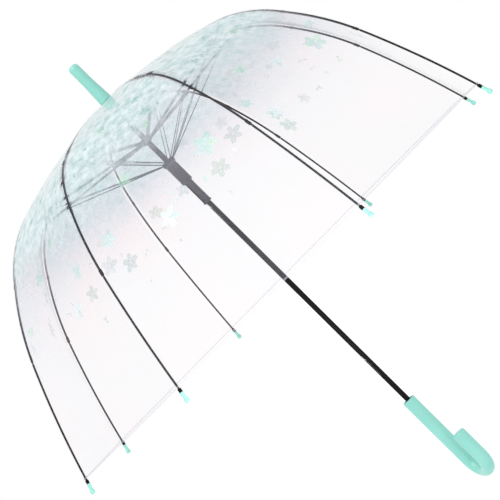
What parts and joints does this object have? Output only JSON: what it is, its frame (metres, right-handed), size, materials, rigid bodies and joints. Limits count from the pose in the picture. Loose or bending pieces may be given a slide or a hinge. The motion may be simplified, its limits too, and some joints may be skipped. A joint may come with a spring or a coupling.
{
  "type": "clear bubble umbrella",
  "caption": "Deep see-through dome umbrella, open, on a straight black shaft with a hooked handle, sprung ribs, stretchers and a sliding runner.",
  "frame": {"origin": "centre of the straight part of the handle, on the shaft's centre line", "axes": "+Z along the shaft from the handle to the ferrule; +X towards rib 1; the hook points 42 degrees from +X towards -Y"},
  "size_m": [0.8166, 0.8166, 0.8273],
  "materials": {
    "mint_plastic": "moulded mint plastic with a soft gloss",
    "clear_film": "clear soft film with a light haze",
    "dark_washer": "dark washer",
    "black_steel": "black painted tube",
    "black_rod": "black glass-fibre rod",
    "dark_channel": "dark grey painted channel",
    "dark_wire": "dark coated wire",
    "runner_plastic": "black moulded plastic",
    "bright_wire": "thin tie wire",
    "catch_steel": "bright sprung steel"
  },
  "bodies": {
    "shaft_and_crown": {"shaft": "black_steel", "ferrule_cap": "mint_plastic", "canopy_washer": "dark_washer", "crown": "mint_plastic", "crown_wire": "bright_wire", "canopy": "clear_film", "handle": "mint_plastic"},
    "rib_inner_1": {"rib_inner_1": "black_rod"},
    "rib_middle_1": {"rib_middle_1": "black_rod"},
    "rib_outer_1": {"rib_outer_1": "black_rod", "rib_tip_1": "mint_plastic"},
    "stretcher_1": {"stretcher_1": "dark_channel"},
    "strut_1": {"strut_1": "dark_wire"},
    "rib_inner_2": {"rib_inner_2": "black_rod"},
    "rib_middle_2": {"rib_middle_2": "black_rod"},
    "rib_outer_2": {"rib_outer_2": "black_rod", "rib_tip_2": "mint_plastic"},
    "stretcher_2": {"stretcher_2": "dark_channel"},
    "strut_2": {"strut_2": "dark_wire"},
    "rib_inner_3": {"rib_inner_3": "black_rod"},
    "rib_middle_3": {"rib_middle_3": "black_rod"},
    "rib_outer_3": {"rib_outer_3": "black_rod", "rib_tip_3": "mint_plastic"},
    "stretcher_3": {"stretcher_3": "dark_channel"},
    "strut_3": {"strut_3": "dark_wire"},
    "rib_inner_4": {"rib_inner_4": "black_rod"},
    "rib_middle_4": {"rib_middle_4": "black_rod"},
    "rib_outer_4": {"rib_outer_4": "black_rod", "rib_tip_4": "mint_plastic"},
    "stretcher_4": {"stretcher_4": "dark_channel"},
    "strut_4": {"strut_4": "dark_wire"},
    "rib_inner_5": {"rib_inner_5": "black_rod"},
    "rib_middle_5": {"rib_middle_5": "black_rod"},
    "rib_outer_5": {"rib_outer_5": "black_rod", "rib_tip_5": "mint_plastic"},
    "stretcher_5": {"stretcher_5": "dark_channel"},
    "strut_5": {"strut_5": "dark_wire"},
    "rib_inner_6": {"rib_inner_6": "black_rod"},
    "rib_middle_6": {"rib_middle_6": "black_rod"},
    "rib_outer_6": {"rib_outer_6": "black_rod", "rib_tip_6": "mint_plastic"},
    "stretcher_6": {"stretcher_6": "dark_channel"},
    "strut_6": {"strut_6": "dark_wire"},
    "rib_inner_7": {"rib_inner_7": "black_rod"},
    "rib_middle_7": {"rib_middle_7": "black_rod"},
    "rib_outer_7": {"rib_outer_7": "black_rod", "rib_tip_7": "mint_plastic"},
    "stretcher_7": {"stretcher_7": "dark_channel"},
    "strut_7": {"strut_7": "dark_wire"},
    "rib_inner_8": {"rib_inner_8": "black_rod"},
    "rib_middle_8": {"rib_middle_8": "black_rod"},
    "rib_outer_8": {"rib_outer_8": "black_rod", "rib_tip_8": "mint_plastic"},
    "stretcher_8": {"stretcher_8": "dark_channel"},
    "strut_8": {"strut_8": "dark_wire"},
    "upper_runner": {"upper_runner": "runner_plastic", "upper_runner_wire": "bright_wire"},
    "lower_runner": {"lower_runner": "runner_plastic"},
    "top_catch": {"top_catch": "catch_steel"},
    "bottom_catch": {"bottom_catch": "catch_steel"}
  },
  "joints": [
    {"name": "fold", "type": "hinge", "parent": "shaft_and_crown", "child": "rib_inner_1", "pos_m": [0.007, 0, 0.6425], "axis": [0, 1, 0], "range_deg": [0, 80], "deforming": ["canopy"]},
    {"name": "rib_2_hinge", "type": "hinge", "parent": "shaft_and_crown", "child": "rib_inner_2", "pos_m": [0.00495, 0.00495, 0.6425], "axis": [-0.7071, 0.7071, 0], "range_deg": [0, 80]},
    {"name": "rib_3_hinge", "type": "hinge", "parent": "shaft_and_crown", "child": "rib_inner_3", "pos_m": [0, 0.007, 0.6425], "axis": [-1, 0, 0], "range_deg": [0, 80]},
    {"name": "rib_4_hinge", "type": "hinge", "parent": "shaft_and_crown", "child": "rib_inner_4", "pos_m": [-0.00495, 0.00495, 0.6425], "axis": [-0.7071, -0.7071, 0], "range_deg": [0, 80]},
    {"name": "rib_5_hinge", "type": "hinge", "parent": "shaft_and_crown", "child": "rib_inner_5", "pos_m": [-0.007, 0, 0.6425], "axis": [0, -1, 0], "range_deg": [0, 80]},
    {"name": "rib_6_hinge", "type": "hinge", "parent": "shaft_and_crown", "child": "rib_inner_6", "pos_m": [-0.00495, -0.00495, 0.6425], "axis": [0.7071, -0.7071, 0], "range_deg": [0, 80]},
    {"name": "rib_7_hinge", "type": "hinge", "parent": "shaft_and_crown", "child": "rib_inner_7", "pos_m": [0, -0.007, 0.6425], "axis": [1, 0, 0], "range_deg": [0, 80]},
    {"name": "rib_8_hinge", "type": "hinge", "parent": "shaft_and_crown", "child": "rib_inner_8", "pos_m": [0.00495, -0.00495, 0.6425], "axis": [0.7071, 0.7071, 0], "range_deg": [0, 80]},
    {"name": "rib_1_upper_bend", "type": "hinge", "parent": "rib_inner_1", "child": "rib_middle_1", "pos_m": [0.21207, 0, 0.61598], "axis": [0, 1, 0], "range_deg": [-40, 0]},
    {"name": "rib_1_lower_bend", "type": "hinge", "parent": "rib_middle_1", "child": "rib_outer_1", "pos_m": [0.3389, 0, 0.47], "axis": [0, 1, 0], "range_deg": [-19.2, 0]},
    {"name": "stretcher_1_hinge", "type": "hinge", "parent": "rib_inner_1", "child": "stretcher_1", "pos_m": [0.2108, 0, 0.6125], "axis": [0, 1, 0], "range_deg": [-160, 0]},
    {"name": "strut_1_hinge", "type": "hinge", "parent": "stretcher_1", "child": "strut_1", "pos_m": [0.18112, 0, 0.60813], "axis": [0, 1, 0], "range_deg": [0, 12.57]},
    {"name": "rib_2_upper_bend", "type": "hinge", "parent": "rib_inner_2", "child": "rib_middle_2", "pos_m": [0.14996, 0.14996, 0.61598], "axis": [-0.7071, 0.7071, 0], "range_deg": [-40, 0]},
    {"name": "rib_2_lower_bend", "type": "hinge", "parent": "rib_middle_2", "child": "rib_outer_2", "pos_m": [0.23964, 0.23964, 0.47], "axis": [-0.7071, 0.7071, 0], "range_deg": [-19.2, 0]},
    {"name": "stretcher_2_hinge", "type": "hinge", "parent": "rib_inner_2", "child": "stretcher_2", "pos_m": [0.14906, 0.14906, 0.6125], "axis": [-0.7071, 0.7071, 0], "range_deg": [-160, 0]},
    {"name": "strut_2_hinge", "type": "hinge", "parent": "stretcher_2", "child": "strut_2", "pos_m": [0.12807, 0.12807, 0.60813], "axis": [-0.7071, 0.7071, 0], "range_deg": [0, 12.57]},
    {"name": "rib_3_upper_bend", "type": "hinge", "parent": "rib_inner_3", "child": "rib_middle_3", "pos_m": [0, 0.21207, 0.61598], "axis": [-1, 0, 0], "range_deg": [-40, 0]},
    {"name": "rib_3_lower_bend", "type": "hinge", "parent": "rib_middle_3", "child": "rib_outer_3", "pos_m": [0, 0.3389, 0.47], "axis": [-1, 0, 0], "range_deg": [-19.2, 0]},
    {"name": "stretcher_3_hinge", "type": "hinge", "parent": "rib_inner_3", "child": "stretcher_3", "pos_m": [0, 0.2108, 0.6125], "axis": [-1, 0, 0], "range_deg": [-160, 0]},
    {"name": "strut_3_hinge", "type": "hinge", "parent": "stretcher_3", "child": "strut_3", "pos_m": [0, 0.18112, 0.60813], "axis": [-1, 0, 0], "range_deg": [0, 12.57]},
    {"name": "rib_4_upper_bend", "type": "hinge", "parent": "rib_inner_4", "child": "rib_middle_4", "pos_m": [-0.14996, 0.14996, 0.61598], "axis": [-0.7071, -0.7071, 0], "range_deg": [-40, 0]},
    {"name": "rib_4_lower_bend", "type": "hinge", "parent": "rib_middle_4", "child": "rib_outer_4", "pos_m": [-0.23964, 0.23964, 0.47], "axis": [-0.7071, -0.7071, 0], "range_deg": [-19.2, 0]},
    {"name": "stretcher_4_hinge", "type": "hinge", "parent": "rib_inner_4", "child": "stretcher_4", "pos_m": [-0.14906, 0.14906, 0.6125], "axis": [-0.7071, -0.7071, 0], "range_deg": [-160, 0]},
    {"name": "strut_4_hinge", "type": "hinge", "parent": "stretcher_4", "child": "strut_4", "pos_m": [-0.12807, 0.12807, 0.60813], "axis": [-0.7071, -0.7071, 0], "range_deg": [0, 12.57]},
    {"name": "rib_5_upper_bend", "type": "hinge", "parent": "rib_inner_5", "child": "rib_middle_5", "pos_m": [-0.21207, 0, 0.61598], "axis": [0, -1, 0], "range_deg": [-40, 0]},
    {"name": "rib_5_lower_bend", "type": "hinge", "parent": "rib_middle_5", "child": "rib_outer_5", "pos_m": [-0.3389, 0, 0.47], "axis": [0, -1, 0], "range_deg": [-19.2, 0]},
    {"name": "stretcher_5_hinge", "type": "hinge", "parent": "rib_inner_5", "child": "stretcher_5", "pos_m": [-0.2108, 0, 0.6125], "axis": [0, -1, 0], "range_deg": [-160, 0]},
    {"name": "strut_5_hinge", "type": "hinge", "parent": "stretcher_5", "child": "strut_5", "pos_m": [-0.18112, 0, 0.60813], "axis": [0, -1, 0], "range_deg": [0, 12.57]},
    {"name": "rib_6_upper_bend", "type": "hinge", "parent": "rib_inner_6", "child": "rib_middle_6", "pos_m": [-0.14996, -0.14996, 0.61598], "axis": [0.7071, -0.7071, 0], "range_deg": [-40, 0]},
    {"name": "rib_6_lower_bend", "type": "hinge", "parent": "rib_middle_6", "child": "rib_outer_6", "pos_m": [-0.23964, -0.23964, 0.47], "axis": [0.7071, -0.7071, 0], "range_deg": [-19.2, 0]},
    {"name": "stretcher_6_hinge", "type": "hinge", "parent": "rib_inner_6", "child": "stretcher_6", "pos_m": [-0.14906, -0.14906, 0.6125], "axis": [0.7071, -0.7071, 0], "range_deg": [-160, 0]},
    {"name": "strut_6_hinge", "type": "hinge", "parent": "stretcher_6", "child": "strut_6", "pos_m": [-0.12807, -0.12807, 0.60813], "axis": [0.7071, -0.7071, 0], "range_deg": [0, 12.57]},
    {"name": "rib_7_upper_bend", "type": "hinge", "parent": "rib_inner_7", "child": "rib_middle_7", "pos_m": [0, -0.21207, 0.61598], "axis": [1, 0, 0], "range_deg": [-40, 0]},
    {"name": "rib_7_lower_bend", "type": "hinge", "parent": "rib_middle_7", "child": "rib_outer_7", "pos_m": [0, -0.3389, 0.47], "axis": [1, 0, 0], "range_deg": [-19.2, 0]},
    {"name": "stretcher_7_hinge", "type": "hinge", "parent": "rib_inner_7", "child": "stretcher_7", "pos_m": [0, -0.2108, 0.6125], "axis": [1, 0, 0], "range_deg": [-160, 0]},
    {"name": "strut_7_hinge", "type": "hinge", "parent": "stretcher_7", "child": "strut_7", "pos_m": [0, -0.18112, 0.60813], "axis": [1, 0, 0], "range_deg": [0, 12.57]},
    {"name": "rib_8_upper_bend", "type": "hinge", "parent": "rib_inner_8", "child": "rib_middle_8", "pos_m": [0.14996, -0.14996, 0.61598], "axis": [0.7071, 0.7071, 0], "range_deg": [-40, 0]},
    {"name": "rib_8_lower_bend", "type": "hinge", "parent": "rib_middle_8", "child": "rib_outer_8", "pos_m": [0.23964, -0.23964, 0.47], "axis": [0.7071, 0.7071, 0], "range_deg": [-19.2, 0]},
    {"name": "stretcher_8_hinge", "type": "hinge", "parent": "rib_inner_8", "child": "stretcher_8", "pos_m": [0.14906, -0.14906, 0.6125], "axis": [0.7071, 0.7071, 0], "range_deg": [-160, 0]},
    {"name": "strut_8_hinge", "type": "hinge", "parent": "stretcher_8", "child": "strut_8", "pos_m": [0.12807, -0.12807, 0.60813], "axis": [0.7071, 0.7071, 0], "range_deg": [0, 12.57]},
    {"name": "upper_runner_hinge", "type": "hinge", "parent": "stretcher_1", "child": "upper_runner", "pos_m": [0.007, 0, 0.5825], "axis": [0, 1, 0], "range_deg": [0, 80]},
    {"name": "lower_runner_slide", "type": "slide", "parent": "upper_runner", "child": "lower_runner", "axis": [0, 0, 1], "range_m": [0, 0.0341]},
    {"name": "top_catch_press", "type": "hinge", "parent": "shaft_and_crown", "child": "top_catch", "pos_m": [-0.00065, -0.00157, 0.4182], "axis": [-0.9239, 0.3827, 0], "range_deg": [0, 3.3], "stiffness_Nm_per_rad": 2, "springref_deg": -1.15},
    {"name": "bottom_catch_press", "type": "hinge", "parent": "shaft_and_crown", "child": "bottom_catch", "pos_m": [-0.00065, -0.00157, 0.1104], "axis": [-0.9239, 0.3827, 0], "range_deg": [0, 3.3], "stiffness_Nm_per_rad": 2, "springref_deg": -1.15}
  ],
  "couplings": [
    {"joint": "rib_2_hinge", "follows": "fold", "ratio": 1},
    {"joint": "rib_3_hinge", "follows": "fold", "ratio": 1},
    {"joint": "rib_4_hinge", "follows": "fold", "ratio": 1},
    {"joint": "rib_5_hinge", "follows": "fold", "ratio": 1},
    {"joint": "rib_6_hinge", "follows": "fold", "ratio": 1},
    {"joint": "rib_7_hinge", "follows": "fold", "ratio": 1},
    {"joint": "rib_8_hinge", "follows": "fold", "ratio": 1},
    {"joint": "rib_1_upper_bend", "follows": "fold", "ratio": -0.5},
    {"joint": "rib_1_lower_bend", "follows": "fold", "ratio": -0.24},
    {"joint": "stretcher_1_hinge", "follows": "fold", "ratio": -2},
    {"joint": "strut_1_hinge", "follows": "fold", "ratio": 0.1571},
    {"joint": "rib_2_upper_bend", "follows": "fold", "ratio": -0.5},
    {"joint": "rib_2_lower_bend", "follows": "fold", "ratio": -0.24},
    {"joint": "stretcher_2_hinge", "follows": "fold", "ratio": -2},
    {"joint": "strut_2_hinge", "follows": "fold", "ratio": 0.1571},
    {"joint": "rib_3_upper_bend", "follows": "fold", "ratio": -0.5},
    {"joint": "rib_3_lower_bend", "follows": "fold", "ratio": -0.24},
    {"joint": "stretcher_3_hinge", "follows": "fold", "ratio": -2},
    {"joint": "strut_3_hinge", "follows": "fold", "ratio": 0.1571},
    {"joint": "rib_4_upper_bend", "follows": "fold", "ratio": -0.5},
    {"joint": "rib_4_lower_bend", "follows": "fold", "ratio": -0.24},
    {"joint": "stretcher_4_hinge", "follows": "fold", "ratio": -2},
    {"joint": "strut_4_hinge", "follows": "fold", "ratio": 0.1571},
    {"joint": "rib_5_upper_bend", "follows": "fold", "ratio": -0.5},
    {"joint": "rib_5_lower_bend", "follows": "fold", "ratio": -0.24},
    {"joint": "stretcher_5_hinge", "follows": "fold", "ratio": -2},
    {"joint": "strut_5_hinge", "follows": "fold", "ratio": 0.1571},
    {"joint": "rib_6_upper_bend", "follows": "fold", "ratio": -0.5},
    {"joint": "rib_6_lower_bend", "follows": "fold", "ratio": -0.24},
    {"joint": "stretcher_6_hinge", "follows": "fold", "ratio": -2},
    {"joint": "strut_6_hinge", "follows": "fold", "ratio": 0.1571},
    {"joint": "rib_7_upper_bend", "follows": "fold", "ratio": -0.5},
    {"joint": "rib_7_lower_bend", "follows": "fold", "ratio": -0.24},
    {"joint": "stretcher_7_hinge", "follows": "fold", "ratio": -2},
    {"joint": "strut_7_hinge", "follows": "fold", "ratio": 0.1571},
    {"joint": "rib_8_upper_bend", "follows": "fold", "ratio": -0.5},
    {"joint": "rib_8_lower_bend", "follows": "fold", "ratio": -0.24},
    {"joint": "stretcher_8_hinge", "follows": "fold", "ratio": -2},
    {"joint": "strut_8_hinge", "follows": "fold", "ratio": 0.1571},
    {"joint": "upper_runner_hinge", "follows": "fold", "ratio": 1},
    {"joint": "lower_runner_slide", "follows": "fold", "m_per_rad": 0.024422}
  ]
}
